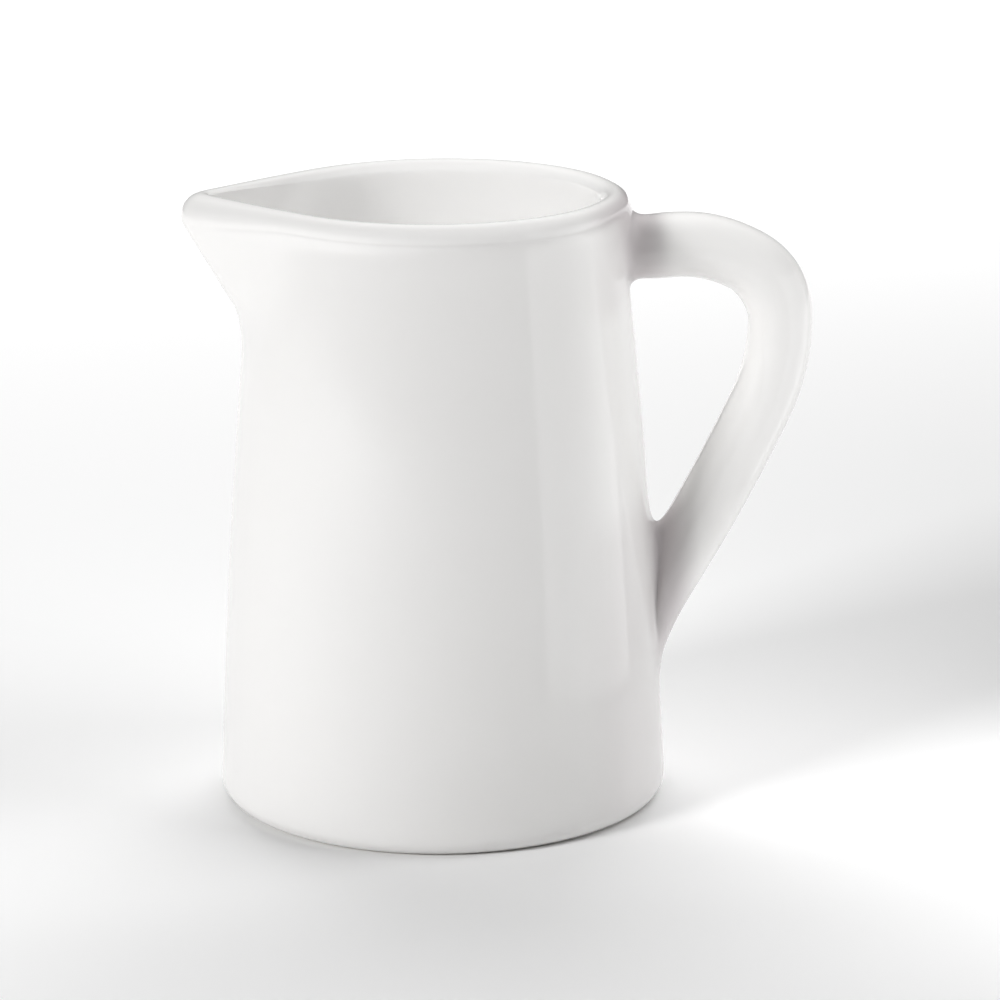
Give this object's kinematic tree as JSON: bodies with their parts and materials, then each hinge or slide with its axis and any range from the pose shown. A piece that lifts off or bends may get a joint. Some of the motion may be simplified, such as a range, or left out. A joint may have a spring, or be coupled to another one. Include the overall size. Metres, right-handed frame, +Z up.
{
  "type": "milk jug",
  "caption": "Tapering white glazed porcelain milk jug with a rolled rim, a pulled pouring lip and a loop handle; holds and pours milk or cream at the table.",
  "frame": {"origin": "on the body's vertical axis, at the plane that the standing ring rests on", "axes": "+Z up, +X from the axis towards the handle, -X towards the pouring lip, +Y completes the right-handed frame"},
  "size_m": [0.1112, 0.0802, 0.11],
  "materials": {
    "glaze": "smooth glossy white glaze, bare matt standing ring"
  },
  "bodies": {
    "root": {"jug": "glaze"}
  },
  "joints": []
}
